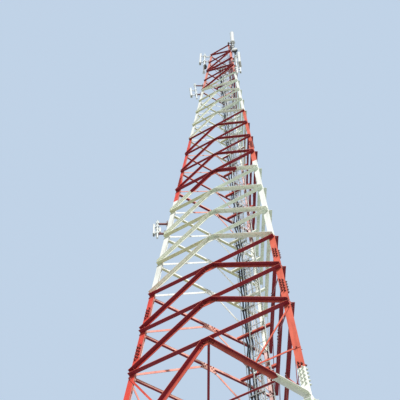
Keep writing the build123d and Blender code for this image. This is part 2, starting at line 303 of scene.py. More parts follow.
def pipe_axis(name, turn=0):
    """Frame on a pipe's axis whose X points the way an antenna's bracket goes."""
    pipe = PIPES[name]
    pivot = HEIGHT - pipe.arms[0]
    place = leg_axis(pipe.leg) @ shift(side(pivot) / ROOT3 + pipe.reach, 0, pivot)
    return place @ turned(pipe.lean, "Y") @ shift(0, 0, -pivot) @ turned(turn, "Z")


# Turns an upright shape so that its length lies along X
LYING = turned(90, "Y")
UPSIDE_DOWN = turned(180, "X")


def between(start, end, upper="X"):
    """Frame half way between two points, its Z along them and its upper axis upwards."""
    turn = (end - start).to_track_quat("Z", upper).to_matrix().to_4x4()
    return Matrix.Translation((start + end) / 2) @ turn


# Shader nodes

def node(tree, kind, **settings):
    made = tree.nodes.new("ShaderNode" + kind)
    for name, value in settings.items():
        setattr(made, name, value)
    return made


def feed(tree, made, values):
    for name, value in values.items():
        if isinstance(value, bpy.types.NodeSocket):
            tree.links.new(value, made.inputs[name])
        else:
            made.inputs[name].default_value = value
    return made


def calc(tree, operation, *values):
    made = node(tree, "Math", operation=operation)
    return feed(tree, made, dict(enumerate(values))).outputs[0]


def times(tree, first, second):
    return calc(tree, "MULTIPLY", first, second)


def ramp(tree, value, low, high):
    """Smooth step of a value from 0 at low to 1 at high."""
    made = node(tree, "MapRange", interpolation_type="SMOOTHSTEP")
    feed(tree, made, {"Value": value, "From Min": low, "From Max": high})
    return made.outputs["Result"]


def blend(tree, factor, first, second, mode="MIX"):
    made = node(tree, "Mix", data_type="RGBA", blend_type=mode)
    return feed(tree, made, {"Factor": factor, "A": first, "B": second}).outputs["Result"]


def noise(tree, place, scale, detail=3, rough=0.5):
    made = node(tree, "TexNoise")
    feed(tree, made, {"Vector": place, "Scale": scale, "Detail": detail, "Roughness": rough})
    return made.outputs["Fac"]


def stretched(tree, place, scale):
    made = node(tree, "Mapping")
    return feed(tree, made, {"Vector": place, "Scale": scale}).outputs[0]


def object_place(tree):
    return node(tree, "TexCoord").outputs["Object"]


def facing(tree):
    return node(tree, "NewGeometry").outputs["Normal"]


def parts_of(tree, value):
    """X, Y and Z of a place or a direction."""
    return feed(tree, node(tree, "SeparateXYZ"), {0: value}).outputs


def dot(tree, first, second):
    made = node(tree, "VectorMath", operation="DOT_PRODUCT")
    return feed(tree, made, {0: first, 1: second}).outputs["Value"]


# Effects that several materials share

def new_group(name, values, results):
    tree = bpy.data.node_groups.new(name, "ShaderNodeTree")
    for label, start in values.items():
        socket = tree.interface.new_socket(label, in_out="INPUT", socket_type="NodeSocketFloat")
        socket.default_value = start
    for label in results:
        tree.interface.new_socket(label, in_out="OUTPUT", socket_type="NodeSocketFloat")
    return tree, tree.nodes.new("NodeGroupInput").outputs, tree.nodes.new("NodeGroupOutput")


def build_weathering():
    """Rain streaks, large blotches and a fine grain on Object coordinates."""
    tree, given, result = new_group("weathering", {"Scale": 1.0}, ("Streak", "Blotch", "Grain"))
    sized = node(tree, "VectorMath", operation="SCALE")
    place = feed(tree, sized, {0: object_place(tree), "Scale": given["Scale"]}).outputs[0]
    streak = noise(tree, stretched(tree, place, (14, 14, 0.9)), 1, 4, 0.6)
    feed(tree, result, {
        "Streak": ramp(tree, streak, 0.48, 0.72),
        "Blotch": ramp(tree, noise(tree, place, 2.3, 4, 0.6), 0.35, 0.70),
        "Grain": noise(tree, place, 160, 2, 0.6)})
    return tree


def build_edge_wear():
    """Mask along sharp edges, broken up by noise."""
    tree, given, result = new_group("edge_wear", {"Width": 0.004, "Amount": 1.0}, ("Mask",))
    rounded = feed(tree, node(tree, "Bevel", samples=4), {"Radius": given["Width"]})
    edge = ramp(tree, dot(tree, rounded.outputs[0], facing(tree)), 0.995, 0.90)
    broken = ramp(tree, noise(tree, object_place(tree), 26, 5, 0.65), 0.44, 0.60)
    feed(tree, result, {"Mask": times(tree, times(tree, edge, broken), given["Amount"])})
    return tree


def build_fade_and_shade():
    """Mask of the sides that weather under the sun, from the direction a surface faces; the sides
    turned away get the deep colour, partly as painted shade.
    """
    tree, given, result = new_group("fade_and_shade", {"Low": -0.05, "High": 0.45}, ("Mask",))
    towards = dot(tree, facing(tree), SUN_SIDE)
    feed(tree, result, {"Mask": ramp(tree, towards, given["Low"], given["High"])})
    return tree


def build_hollow_shade():
    """Mask of the nooks that a flange, plate or bolt keeps the sun and rain off, from ambient
    occlusion: paint there keeps the deep colour, partly unweathered paint and partly painted
    shade.
    """
    tree, given, result = new_group("hollow_shade", {"Reach": 0.15}, ("Mask",))
    opening = feed(tree, node(tree, "AmbientOcclusion", samples=4), {"Distance": given["Reach"]})
    feed(tree, result, {"Mask": ramp(tree, opening.outputs["AO"], 0.95, 0.50)})
    return tree


def use_group(tree, group, **values):
    made = tree.nodes.new("ShaderNodeGroup")
    made.node_tree = group
    return feed(tree, made, values).outputs


# Materials

def new_material(name, roughness, metallic=0.0, specular=0.5):
    material = bpy.data.materials.new(name)
    material.use_nodes = True
    tree = material.node_tree
    shader = tree.nodes["Principled BSDF"]
    values = {"Roughness": roughness, "Metallic": metallic, "Specular IOR Level": specular}
    feed(tree, shader, values)
    return material, tree, shader


def worn(tree, colour, width, amount, under):
    """Another colour along the edges that weather and hands have worn."""
    mask = use_group(tree, edge_wear, Width=width, Amount=amount)["Mask"]
    return blend(tree, mask, colour, under)


def surface(tree, shader, colour, aged, smoothest, patches, bump, distance):
    """Colour, a roughness that grows in the blotches, and a fine grain."""
    rough = calc(tree, "ADD", smoothest, times(tree, aged["Blotch"], patches))
    grain = node(tree, "Bump")
    feed(tree, grain, {"Height": aged["Grain"], "Strength": bump, "Distance": distance})
    feed(tree, shader, {"Base Color": colour, "Roughness": rough, "Normal": grain.outputs[0]})


def band_mask(tree, place):
    """1 on the white bands and 0 on the red ones, with brushed, slightly wavy edges."""
    wave = times(tree, calc(tree, "SUBTRACT", noise(tree, place, 7, 4), 0.5), BAND_WAVE)
    z = calc(tree, "ADD", parts_of(tree, place)["Z"], wave)
    white = calc(tree, "GREATER_THAN", z, BAND_EDGES[0])
    for k, edge in enumerate(BAND_EDGES[1:]):
        above = calc(tree, "GREATER_THAN", z, edge)
        white = calc(tree, "ADD" if k % 2 else "SUBTRACT", white, above)
    return white


def place_across(tree, place):
    """-1 on the left leg to 1 on the right leg, at any height."""
    parts = parts_of(tree, place)
    half = calc(tree, "MULTIPLY_ADD", parts["Z"], -TAPER / 2, BASE_SIDE / 2)
    return calc(tree, "DIVIDE", parts["X"], half)


def rear_corner(tree, place):
    """1 on the rear leg, at any height."""
    parts = parts_of(tree, place)
    reach = calc(tree, "MULTIPLY_ADD", parts["Z"], -TAPER / ROOT3, BASE_SIDE / ROOT3)
    deep = calc(tree, "DIVIDE", calc(tree, "SUBTRACT", parts["Y"], AXIS_Y), reach)
    return ramp(tree, deep, 0.80, 0.90)


def underside(tree):
    """1 on the surfaces that face straight down, under the level bars, where the whites take a
    painted greenish shade.
    """
    return ramp(tree, parts_of(tree, facing(tree))["Z"], -0.80, -0.95)


def powder_and_glare_side(tree):
    """1 on the upright surfaces that face the afternoon sun, square to the tower's right, which
    are painted paler: partly chalked paint and partly painted sun glare.
    """
    parts = parts_of(tree, facing(tree))
    return times(tree, ramp(tree, parts["X"], 0.45, 0.80), ramp(tree, parts["Z"], -0.30, -0.10))


def tower_paint(name, reds, whites):
    """Banded paint from deep through faded to chalky, with dirt, chips and worn edges; the deep
    colours are partly painted shade and the chalky ones partly painted sun glare.
    """
    material, tree, shader = new_material(name, 0.5, specular=0.25)
    place = object_place(tree)
    across = place_across(tree, place)
    aged = use_group(tree, weathering, Scale=1.0)

    # Share of the colour that faces the sun: the rest keeps the deep colour, partly unweathered
    # paint and partly painted shade
    lit_and_faded = use_group(tree, fade_and_shade, Low=-0.1, High=0.5)["Mask"]
    lit_and_faded = calc(tree, "SUBTRACT", lit_and_faded, times(tree, aged["Blotch"], 0.22))
    # Deep colour in the hollows under flanges, plates and bolts: partly less weathered paint,
    # partly painted shade
    hollow_shade_mask = use_group(tree, hollow_shade, Reach=0.14)["Mask"]
    lit_and_faded = calc(tree, "SUBTRACT", lit_and_faded, times(tree, hollow_shade_mask, 0.65))
    # Paler colour on the sides facing the afternoon sun, partly chalked paint and partly painted
    # sun glare
    patchy = calc(tree, "ADD", 0.55, times(tree, aged["Blotch"], 0.45))
    powder_and_glare = times(tree, powder_and_glare_side(tree), patchy)

    # Redder towards the left leg
    left_share = times(tree, ramp(tree, across, -0.35, -0.95), 0.85)
    topmost = ramp(tree, parts_of(tree, place)["Z"], 27, 34)
    open_red = blend(tree, topmost, blend(tree, left_share, reds[1], RED_LEFT_LEG), RED_TOPMOST)
    # On the rear leg the sun-facing red turns near-white, a painted highlight
    powder_and_glare_red = blend(tree, rear_corner(tree, place), reds[2], RED_SUNLIT_HIGHLIGHT)
    red = blend(tree, powder_and_glare, blend(tree, lit_and_faded, reds[0], open_red), powder_and_glare_red)

    # Painted shade on the whites: greenish on the undersides, olive towards the left leg, and the
    # deep white on the sides turned from the sun
    green_underside_shade = blend(tree, ramp(tree, across, 0.10, -0.20), WHITE_SHADE_GREEN, WHITE_SHADE_OLIVE)
    shaded_white = blend(tree, underside(tree), whites[0], green_underside_shade)
    white = blend(tree, powder_and_glare, blend(tree, lit_and_faded, shaded_white, whites[1]), whites[2])

    colour = blend(tree, band_mask(tree, place), red, white)
    colour = blend(tree, times(tree, aged["Streak"], 0.30), colour, DIRT, "MULTIPLY")
    chipped = ramp(tree, noise(tree, place, 38, 4, 0.7), 0.705, 0.735)
    colour = blend(tree, times(tree, chipped, 0.7), colour, PRIMER)
    colour = worn(tree, colour, 0.005, 0.55, WORN_EDGE)
    surface(tree, shader, colour, aged, 0.42, 0.22, 0.25, 0.001)
    return material


def zinc(name, light, dark, roughness, metallic):
    """Hot dip zinc: crystals of different greys, dull patches and bright edges."""
    material, tree, shader = new_material(name, roughness, metallic)
    aged = use_group(tree, weathering, Scale=1.6)
    crystal = feed(tree, node(tree, "TexVoronoi"), {"Vector": object_place(tree), "Scale": 70})
    grey = feed(tree, node(tree, "SeparateColor"), {0: crystal.outputs["Color"]}).outputs[0]
    dull = calc(tree, "ADD", times(tree, grey, 0.55), times(tree, aged["Blotch"], 0.4))
    colour = worn(tree, blend(tree, dull, light, dark), 0.003, 0.6, BRIGHT_EDGE)
    surface(tree, shader, colour, aged, roughness - 0.1, 0.3, 0.2, 0.0008)
    return material


def coated(name, clean, dirty, roughness, streaks, bump):
    """Cover, case or sheath: one colour with rain streaks, blotches and a fine grain."""
    material, tree, shader = new_material(name, roughness)
    aged = use_group(tree, weathering, Scale=2.2)
    mark = calc(tree, "ADD", times(tree, aged["Streak"], streaks),
                times(tree, aged["Blotch"], streaks * 0.6))
    colour = worn(tree, blend(tree, mark, clean, dirty), 0.003, 0.4, dirty)
    surface(tree, shader, colour, aged, roughness - 0.06, 0.2, bump, 0.0006)
    return material


# Small shapes that pieces are put together from

def shape(bm, name="shape"):
    mesh = bpy.data.meshes.new(name)
    bm.to_mesh(mesh)
    bm.free()
    return mesh


def add(name, data):
    thing = bpy.data.objects.new(name, data)
    bpy.context.scene.collection.objects.link(thing)
    return thing


def put(bm, small, place, size=1.0):
    """Adds a copy of a small shape to a piece, at a point or in a frame."""
    if isinstance(place, Vector):
        place = Matrix.Translation(place)
    copy = small.copy()
    copy.transform(place @ Matrix.Scale(size, 4))
    bm.from_mesh(copy)
    bpy.data.meshes.remove(copy)


def cone(bm, low, high, start, deep, sides):
    """Round or many-sided length along Z, from one radius to another."""
    bmesh.ops.create_cone(bm, cap_ends=True, segments=sides, radius1=low, radius2=high,
                          depth=deep, matrix=shift(0, 0, start + deep / 2))


def rise_of(edge):
    return abs(edge.verts[0].co.z - edge.verts[1].co.z)


def round_off(bm, edges, width, segments):
    bmesh.ops.bevel(bm, geom=edges, offset=width, offset_type="OFFSET", affect="EDGES",
                    segments=segments, profile=0.5, material=-1)


def block(size, corner, segments=2):
    """Block with its long edges rounded off, centred on its own origin."""
    bm = bmesh.new()
    bmesh.ops.create_cube(bm, size=1)
    bmesh.ops.scale(bm, vec=size, verts=bm.verts)
    round_off(bm, [e for e in bm.edges if rise_of(e) > 1e-6], corner, segments)
    return shape(bm)


def rod(across, long, sides, rim=0.0):
    """Round rod along Z with its end rims drawn in."""
    bm = bmesh.new()
    cone(bm, across / 2, across / 2, -long / 2, long, sides)
    if rim:
        round_off(bm, [e for e in bm.edges if rise_of(e) < 1e-6], rim, 3)
    return shape(bm)


def turned_form(outline, sides):
    """Form spun about Z from radius and height pairs, closed on the axis or on themselves."""
    bm = bmesh.new()
    points = [bm.verts.new((radius, 0, z)) for radius, z in outline]
    edges = [bm.edges.new(pair) for pair in zip(points[:-1], points[1:])]
    bmesh.ops.spin(bm, geom=points + edges, cent=(0, 0, 0), axis=(0, 0, 1), angle=2 * math.pi,
                   steps=sides, use_merge=True)
    bmesh.ops.remove_doubles(bm, verts=bm.verts, dist=1e-5)
    bmesh.ops.recalc_face_normals(bm, faces=bm.faces)
    return shape(bm)


def bolt_end(deep, thread):
    """Washer under a hexagon whose top corners are drawn in, with a thread end on a nut."""
    bm = bmesh.new()
    radius = BOLT_ACROSS / ROOT3
    cone(bm, radius * 1.08, radius * 1.08, 0, WASHER_DEEP, 8)
    cone(bm, radius, radius * 0.92, WASHER_DEEP, deep, 6)
    if thread:
        cone(bm, radius * 0.55, radius * 0.5, WASHER_DEEP + deep, thread, 6)
    return shape(bm)


def finish(bm, name, coat, replaced=(), sharp=None):
    """Makes a piece; with sharp, it is smooth but for edges over that many degrees."""
    material, slot = coats[coat]
    mesh = shape(bm, name)
    if sharp:
        mesh.shade_smooth()
        mesh.set_sharp_from_angle(angle=math.radians(sharp))
    mesh.materials.append(material)
    piece = add(name, mesh)
    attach(piece, "root")
    if replaced:
        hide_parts(*replaced)
    return piece


# Bolts of the lattice

def face_bolt(bm, face, x, z, lift, depth, size=1.0):
    """Nut on the outer surface and head on the inner one."""
    put(bm, bolt_nut, on_face(face, x, z, lift), size)
    put(bm, bolt_head, on_face(face, x, z, -depth) @ UPSIDE_DOWN, size)


def bar_bolts(bm, face, start, end, distances, depth, size):
    """Bolts on a bar's middle line, at distances from its start."""
    for distance in distances:
        spot = start + (end - start).normalized() * distance
        face_bolt(bm, face, spot.x, spot.y, BAR_THICK, depth, size)


def diagonal_ends(level):
    """Middle lines of the diagonals above a level, from the leg on."""
    rise = FOOT_RISE if level == 0 else BRACE_LIFT
    if level >= FIRST_ZIGZAG:
        hand = 1 if (level - FIRST_ZIGZAG) % 2 == 0 else -1
        return [(face_node(level, hand, rise), face_node(level + 1, -hand, -BRACE_LIFT))]
    return [(face_node(level, hand, rise), face_node(level + 1, 0)) for hand in (-1, 1)]


def minor_bar_ends(level):
    """Ends of the light bars between the leg and the middles of a double panel's diagonals."""
    ends = []
    for hand, (foot, middle) in zip((-1, 1), diagonal_ends(level)):
        knee = (foot + middle) / 2
        leg_middle = (face_node(level, hand) + face_node(level + 1, hand)) / 2
        ends.append((leg_middle, knee))
        ends.append((face_node(level + 1, hand, -CHORD_DEEP), knee))
    return ends


def lattice_bolts(face):
    """Two bolts where each bar meets a leg, and rows of them on the mid-face gussets."""
    bm = bmesh.new()
    for level in range(TOP_LEVEL):
        share = slim(level)
        size = BRACE_BOLT * share
        braced = level < FIRST_ZIGZAG
        far_bolts = GUSSET_BOLTS if braced else ZIGZAG_BOLTS
        for start, end in diagonal_ends(level):
            near_bolts = (LEG_END, LEG_END + LEG_END_PITCH * share)
            bar_bolts(bm, face, start, end, near_bolts, LEG_THICK, size)
            bar_bolts(bm, face, end, start, [distance * share for distance in far_bolts],
                      0 if braced else LEG_THICK, size)
        if level < DOUBLE_PANELS:
            for leg_end, knee in minor_bar_ends(level):
                bar_bolts(bm, face, leg_end, knee, (MINOR_END,), LEG_THICK, MINOR_BOLT)
                bar_bolts(bm, face, knee, leg_end, (MINOR_END,), 0, MINOR_BOLT)
        z = LEVELS[level + 1]
        for hand in (-1, 1):
            for inset in (CHORD_END, CHORD_END + CHORD_END_PITCH * share):
                x = hand * (side(z) / 2 - END_INSET - inset)
                face_bolt(bm, face, x, z, BAR_THICK, LEG_THICK, size)
            if braced:
                for x in CHORD_MIDDLE:
                    face_bolt(bm, face, hand * x * share, z, BAR_THICK, 0, size)
    finish(bm, f"lattice_bolts_{face}", "painted_bolts")


def leg_joint_bolts():
    """Staggered rows of bolts through both flanges at each leg joint."""
    bm = bmesh.new()
    for face, hand in FACE_ENDS:
        for middle, rows in LEG_JOINTS:
            share = SLIM_SHARE if middle > LEVELS[SLIM_FROM] else 1
            for k in range(rows):
                for column in (0, 1):
                    z = middle + (k - (rows - 1) / 2 + (column - 0.5) / 2) * JOINT_PITCH
                    inset = (JOINT_COLUMN + JOINT_COLUMN_PITCH * column) * share
                    x = hand * (side(z) / 2 - inset)
                    face_bolt(bm, face, x, z, 0.001, LEG_THICK + SPLICE_THICK, share)
    finish(bm, "leg_joint_bolts", "painted_bolts")


def corner_bar_bolts():
    """Two upright bolts through each end of every corner bar."""
    bm = bmesh.new()
    for z in LEVELS[1:TOP_LEVEL]:
        tip = heel("rear", z).y
        for hand in (-1, 1):
            for y, inset in ((corner_y(z) - 0.006, 0.050), (corner_y(z) + 0.016, 0.100)):
                x = hand * ((tip - y) / ROOT3 - inset)
                put(bm, bolt_nut, Vector((x, y, z + BAR_THICK)), CORNER_BOLT)
                put(bm, bolt_head, shift(x, y, z) @ UPSIDE_DOWN, CORNER_BOLT)
    finish(bm, "corner_bar_bolts", "painted_bolts")


def anchor_bolts():
    """Threaded anchors with washers and nuts on the base plates."""
    bm = bmesh.new()
    washer = rod(0.066, 0.006, 20, 0.001)
    nut = rod(0.058, 0.028, 6, 0.002)
    stud = rod(0.033, 0.110, 12, 0.003)
    for leg in LEGS:
        centre = leg_axis(leg) @ Vector((BASE_SIDE / ROOT3 - PLATE_INSET, 0, 0))
        for x in (-ANCHOR_REACH, ANCHOR_REACH):
            for y in (-ANCHOR_REACH, ANCHOR_REACH):
                foot = centre + Vector((x, y, 0))
                put(bm, washer, foot + Vector((0, 0, ANCHOR_WASHER)))
                for z in ANCHOR_NUTS:
                    turn = Matrix.Rotation(x + z * 9, 4, "Z")
                    put(bm, nut, Matrix.Translation(foot + Vector((0, 0, z))) @ turn)
                put(bm, stud, foot + Vector((0, 0, ANCHOR_STUD)))
    finish(bm, "anchor_bolts", "galvanised_steel")


# Ladders, cables and platforms

def steps(low, high, pitch):
    """Heights of rungs or hangers, the first half a pitch above the foot."""
    return [low + pitch * (k + 0.5) for k in range(int((high - low) / pitch))]


def rail(bm, x, y, wide, deep, low, high):
    """Flat length that follows the rear leg's slope."""
    start, end = corner_place(x, y, low), corner_place(x, y, high)
    flat = block((wide, deep, (end - start).length), min(wide, deep) * 0.3)
    put(bm, flat, between(start, end, "Y"))


def ladder_stile(bm, hand):
    """Bolted lengths of a flat stile, with fish plates, and cleats on the corner bars."""
    x = LADDER_X + hand * (LADDER_WIDE - STILE_THICK) / 2
    plate = block((STILE_THICK, STILE_WIDE * 0.8, FISH_PLATE), 0.003)
    cleat = block((0.050, 0.010, 0.060), 0.003)
    outward = turned(hand * 90, "Y")
    low = LADDER_FOOT
    while low < LADDER_HEAD:
        high = min(low + STILE_LENGTH, LADDER_HEAD)
        rail(bm, x, LADDER_Y, STILE_THICK, STILE_WIDE, low + 0.002, high)
        if high < LADDER_HEAD:
            put(bm, plate, corner_place(x - hand * STILE_THICK, LADDER_Y, high))
            for rise in FISH_BOLTS:
                spot = corner_place(x + hand * STILE_THICK / 2, LADDER_Y, high + rise)
                put(bm, bolt_nut, Matrix.Translation(spot) @ outward, LADDER_BOLT)
        low = high
    for z in LEVELS[1:TOP_LEVEL]:
        y = LADDER_Y + STILE_WIDE / 2 - 0.006
        put(bm, cleat, corner_place(x - hand * 0.030, y, z + 0.035))


def climbing_ladder():
    """Stiles with round rungs through them, held by a collar inside each stile."""
    bm = bmesh.new()
    for hand in (-1, 1):
        ladder_stile(bm, hand)
    rung = rod(RUNG_ACROSS, LADDER_WIDE + 0.012, 8)
    collar = rod(RUNG_ACROSS * 1.5, 0.006, 8)
    inside = (LADDER_WIDE - STILE_THICK) / 2 - STILE_THICK / 2 - 0.003
    for z in steps(LADDER_FOOT, LADDER_HEAD, RUNG_PITCH):
        middle = Matrix.Translation(corner_place(LADDER_X, LADDER_Y, z))
        put(bm, rung, middle @ LYING)
        for hand in (-1, 1):
            put(bm, collar, middle @ shift(hand * inside, 0, 0) @ LYING)
    finish(bm, "climbing_ladder_dressed", "ladder_steel", ["climbing_ladder"])


def cable_ladder():
    """Flat stiles with square rungs, and clips that hold it on the corner bars."""
    bm = bmesh.new()
    reach = (TRAY_WIDE - BAR_THICK) / 2
    rung = block((TRAY_RUNG, TRAY_RUNG, TRAY_WIDE - BAR_THICK), 0.004)
    clip = block((0.034, 0.012, 0.050), 0.003)
    for hand in (-1, 1):
        rail(bm, TRAY_X + hand * reach, TRAY_Y, BAR_THICK, TRAY_STILE, CABLE_FOOT, LADDER_HEAD)
        for z in LEVELS[1:TOP_LEVEL]:
            x, y = TRAY_X + hand * (reach - 0.019), TRAY_Y - TRAY_STILE / 2 + 0.006
            put(bm, clip, corner_place(x, y, z + CORNER_BAR / 2))
    for z in steps(CABLE_FOOT, LADDER_HEAD, TRAY_PITCH):
        put(bm, rung, Matrix.Translation(corner_place(TRAY_X, TRAY_Y + 0.005, z)) @ LYING)
    finish(bm, "cable_ladder_dressed", "ladder_steel", ["cable_ladder"])


def bundle_sways(chance):
    """Sideways bulge of all cables together above each hanger, none in a platform's notch."""
    notches = [LEVELS[level] + CORNER_BAR for level in PLATFORM_LEVELS]
    sways = []
    for z in hangers[:-1]:
        held = any(z < notch < z + TRAY_PITCH for notch in notches)
        sways.append(0 if held else chance.uniform(-BUNDLE_SWAY, BUNDLE_SWAY))
    return sways


def cable_route(x, y, sways, chance):
    """Points of one cable: straight through each hanger, and an S-bend in each free span."""
    points = [corner_place(x, y, CABLE_FOOT)]
    for z, sway in zip(hangers, sways):
        points += [corner_place(x, y, z + rise) for rise in (-HANGER_GRIP, HANGER_GRIP)]
        own = chance.uniform(-OWN_SWAY, OWN_SWAY) if sway else 0
        for share, rise in ((1, 0.30), (-0.6, 0.68)):
            back = chance.uniform(0, BACK_SWAY) if sway else 0
            points.append(corner_place(x + sway * share + own, y + back, z + TRAY_PITCH * rise))
    points.append(corner_place(x, y, CABLE_HEAD))
    return points


def cable_mesh(points, across):
    """Round cable on one smooth curve through its route."""
    data = bpy.data.curves.new("feeder", "CURVE")
    data.dimensions = "3D"
    data.bevel_depth = across / 2
    data.bevel_resolution = 1
    data.resolution_u = 3
    data.use_fill_caps = True
    spline = data.splines.new("NURBS")
    spline.points.add(len(points) - 1)
    for point, place in zip(spline.points, points):
        point.co = (*place, 1)
    spline.order_u = 3
    spline.use_endpoint_u = True
    cable = bpy.data.objects.new("feeder", data)
    mesh = bpy.data.meshes.new_from_object(cable)
    bpy.data.objects.remove(cable)
    return mesh


def feeder_cables(name, places, across, sways, coat, chance):
    """Cables that bulge between the hangers that hold them on the cable ladder."""
    bm = bmesh.new()
    for x in places:
        mesh = cable_mesh(cable_route(x, CABLE_Y + across / 2, sways, chance), across)
        bm.from_mesh(mesh)
        bpy.data.meshes.remove(mesh)
    finish(bm, name + "_dressed", coat, [name], sharp=180)


def cable_hangers():
    """Clamping block with a through bolt at each cable on every rung of the cable ladder."""
    bm = bmesh.new()
    tie = rod(0.008, 0.080, 6)
    through = turned(90, "X")
    for places, across in ((BLACK_X, BLACK_CABLE), (GREY_X, GREY_CABLE)):
        jaw = block((across + 0.014, across + 0.010, 0.036), 0.008)
        for x in places:
            for z in hangers:
                spot = corner_place(x, CABLE_Y + across / 2, z)
                put(bm, jaw, spot)
                put(bm, tie, Matrix.Translation(spot) @ through)
    finish(bm, "cable_hangers", "hanger_plastic")


def on_edge(bm, tall, thick, corner, start, end, segments=2):
    """Flat bar on edge between two level points."""
    bar = block((tall, thick, (end - start).length), corner, segments)
    put(bm, bar, between(start, end))


def rest_platform(bm, level):
    """Open grating in an edge frame on the corner bar, notched round the cable ladder."""
    z = LEVELS[level] + CORNER_BAR + PLATFORM_THICK / 2
    near = corner_y(LEVELS[level]) - CORNER_BAR / 2
    far = heel("rear", z).y - LEG_WIDTH * ROOT3 / 2 - PLATFORM_GAP
    tip = heel("rear", z + PLATFORM_THICK).y
    left = TRAY_X - TRAY_WIDE / 2 - PLATFORM_GAP
    right = TRAY_X + TRAY_WIDE / 2 + PLATFORM_GAP
    notch = near + CORNER_BAR + TRAY_STILE + BLACK_CABLE + 2 * PLATFORM_GAP
    near_reach = (tip - near) / ROOT3
    far_reach = (tip - far) / ROOT3
    front = near + EDGE_THICK / 2
    frame_bars = [
        (-near_reach + 0.012, front, left, front), (left, near, left, notch),
        (left, notch, right, notch), (right, near, right, notch),
        (right, front, near_reach - 0.012, front)]
    for hand in (-1, 1):
        frame_bars.append((hand * (near_reach - 0.016), near + 0.010,
                           hand * (far_reach - 0.010), far - 0.006))
    frame_bars.append((-far_reach, far - 0.004, far_reach, far - 0.004))
    for x0, y0, x1, y1 in frame_bars:
        start, end = Vector((x0, y0, z)), Vector((x1, y1, z))
        on_edge(bm, PLATFORM_THICK - 0.002, EDGE_THICK, 0.0015, start, end)
    count = int(2 * near_reach / STRIP_PITCH)
    for k in range(1, count):
        x = -near_reach + 2 * near_reach * k / count
        low = notch if left < x < right else near + EDGE_THICK
        high = min(far - EDGE_THICK, tip - ROOT3 * abs(x) - 0.012)
        if high - low > SHORTEST_STRIP:
            start, end = Vector((x, low, z)), Vector((x, high, z))
            on_edge(bm, PLATFORM_THICK - 0.006, STRIP_THICK, 0.001, start, end, 1)
    top = z + PLATFORM_THICK / 2 - 0.005
    for k in range(1, int((far - near) / CROSS_PITCH) + 1):
        y = near + CROSS_PITCH * k
        wide = (tip - y) / ROOT3 - 0.012
        for low, high in ((-wide, left), (right, wide)) if y < notch else ((-wide, wide),):
            if high - low > SHORTEST_STRIP:
                place = between(Vector((low, y, top)), Vector((high, y, top)))
                put(bm, rod(CROSS_ACROSS, high - low, 6), place)


def rest_platforms():
    bm = bmesh.new()
    for level in PLATFORM_LEVELS:
        rest_platform(bm, level)
    finish(bm, "rest_platforms_dressed", "grating_steel", ["rest_platforms"])


# Antennas and their pipes

def stub_and_clamp(bm, pipe, turn, z, reach):
    """Square stub from a pipe to an antenna's back, and the jaws that grip the pipe."""
    radius = PIPES[pipe].across / 2
    axis = pipe_axis(pipe, turn)
    arm = block((STUB * 0.8, STUB * 0.7, reach - radius), 0.006)
    put(bm, arm, axis @ shift((reach + radius) / 2, 0, z) @ LYING)
    plate = block((0.076, radius * 2 + 0.060, 0.010), 0.006)
    for x in (radius + 0.006, -radius - 0.006):
        put(bm, plate, axis @ shift(x, 0, z) @ LYING)
    tie = rod(0.012, 2 * radius + 0.050, 8)
    backward = turned(-90, "Y")
    for hand in (-1, 1):
        y = hand * (radius + 0.016)
        put(bm, tie, axis @ shift(0, y, z) @ LYING)
        put(bm, bolt_nut, axis @ shift(-radius - 0.011, y, z) @ backward, 0.6)


def panel_antennas():
    """Covers with rounded fronts and end caps, their brackets and the connectors under them."""
    brackets = bmesh.new()
    plugs = bmesh.new()
    plug = rod(0.030, PLUG_LONG, 10, 0.004)
    for name, panel in PANELS.items():
        pipe = PIPES[panel.pipe]
        axis = pipe_axis(panel.pipe, panel.turn)
        wide, deep, long = panel.wide, panel.deep, panel.foot - panel.head
        back = pipe.across / 2 + panel.standoff
        place = axis @ shift(back + deep / 2, 0, HEIGHT - (panel.foot + panel.head) / 2)
        slender = min(wide, deep)
        bm = bmesh.new()
        body = block((deep - 0.006, wide - 0.006, long - PANEL_CAP), slender * 0.30, 5)
        put(bm, body, place)
        cap = block((deep, wide, PANEL_CAP), slender * 0.32, 5)
        for hand in (-1, 1):
            put(bm, cap, place @ shift(0, 0, hand * (long - PANEL_CAP) / 2))
        soften(finish(bm, f"panel_{name}_cover", "antenna_cover", [f"panel_{name}"]), 0.004)
        count = 4 if wide > 0.14 else 2
        for k in range(count):
            y = (k - (count - 1) / 2) * wide * 0.2
            put(plugs, plug, place @ shift(0, y, -long / 2 - 0.025))
        inset = BRACKET_INSET * long
        tilt = block((0.012, wide * 0.5, 0.110), 0.004)
        foot = min(panel.foot - inset, pipe.foot - STUB)
        head = max(panel.head + inset, pipe.head + STUB)
        for drop in (foot, head):
            stub_and_clamp(brackets, panel.pipe, panel.turn, HEIGHT - drop, back)
            put(brackets, tilt, axis @ shift(back - 0.004, 0, HEIGHT - drop))
    finish(brackets, "panel_brackets", "galvanised_steel")
    finish(plugs, "panel_connectors", "radio_case")


def soften(piece, width):
    """Small round on a piece's hard edges."""
    rounding = piece.modifiers.new("rounding", "BEVEL")
    rounding.width = width
    rounding.segments = 2
    rounding.limit_method = "ANGLE"
    rounding.angle_limit = math.radians(50)


